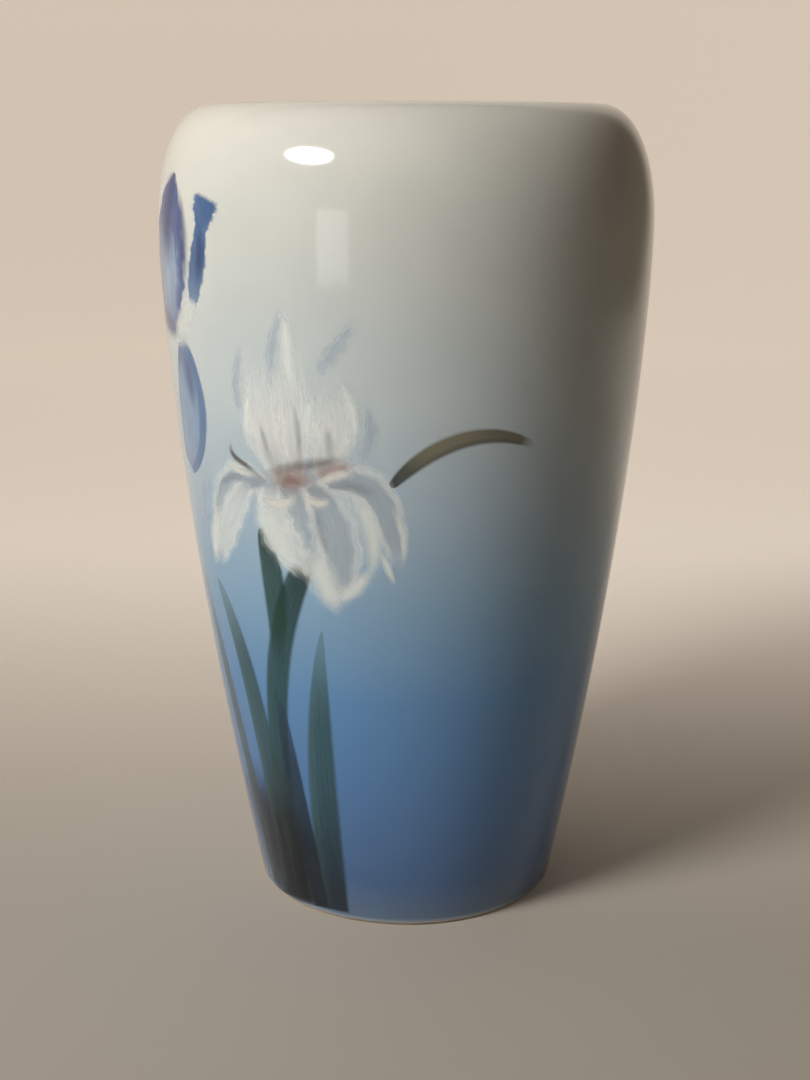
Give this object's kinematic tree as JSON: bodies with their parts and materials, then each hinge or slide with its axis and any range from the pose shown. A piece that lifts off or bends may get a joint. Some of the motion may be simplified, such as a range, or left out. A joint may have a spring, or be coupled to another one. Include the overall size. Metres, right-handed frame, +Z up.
{
  "type": "porcelain vase",
  "caption": "Tall tapered vase with a broad flat shoulder, a turned-in round mouth and a foot ring, glazed pale to blue and painted with a white and a blue iris.",
  "frame": {"origin": "centre of the foot's resting face", "axes": "+Z up along the vase's axis; -Y is the front, with the white iris to the left of its middle and the blue iris further round to the left"},
  "size_m": [0.1952, 0.195, 0.32],
  "materials": {
    "bare_porcelain": "matte",
    "graded_glaze": "gloss",
    "clear_glaze": "gloss",
    "white_petal_paint": "gloss",
    "throat_paint": "gloss",
    "blue_petal_paint": "gloss",
    "blue_throat_paint": "gloss",
    "leaf_paint": "gloss",
    "bent_leaf_paint": "gloss"
  },
  "bodies": {
    "root": {"foot_ring": "bare_porcelain", "base_disc": "bare_porcelain", "lower_body": "bare_porcelain", "upper_body": "bare_porcelain", "shoulder": "bare_porcelain", "mouth_lip": "bare_porcelain", "outer_glaze": "graded_glaze", "inner_glaze": "clear_glaze", "foot_glaze": "clear_glaze", "white_iris_standards": "white_petal_paint", "white_iris_falls": "white_petal_paint", "white_iris_heart": "throat_paint", "blue_iris_standards": "blue_petal_paint", "blue_iris_falls": "blue_petal_paint", "blue_iris_heart": "blue_throat_paint", "stems": "leaf_paint", "leaves": "leaf_paint", "bent_leaf": "bent_leaf_paint"}
  },
  "joints": []
}
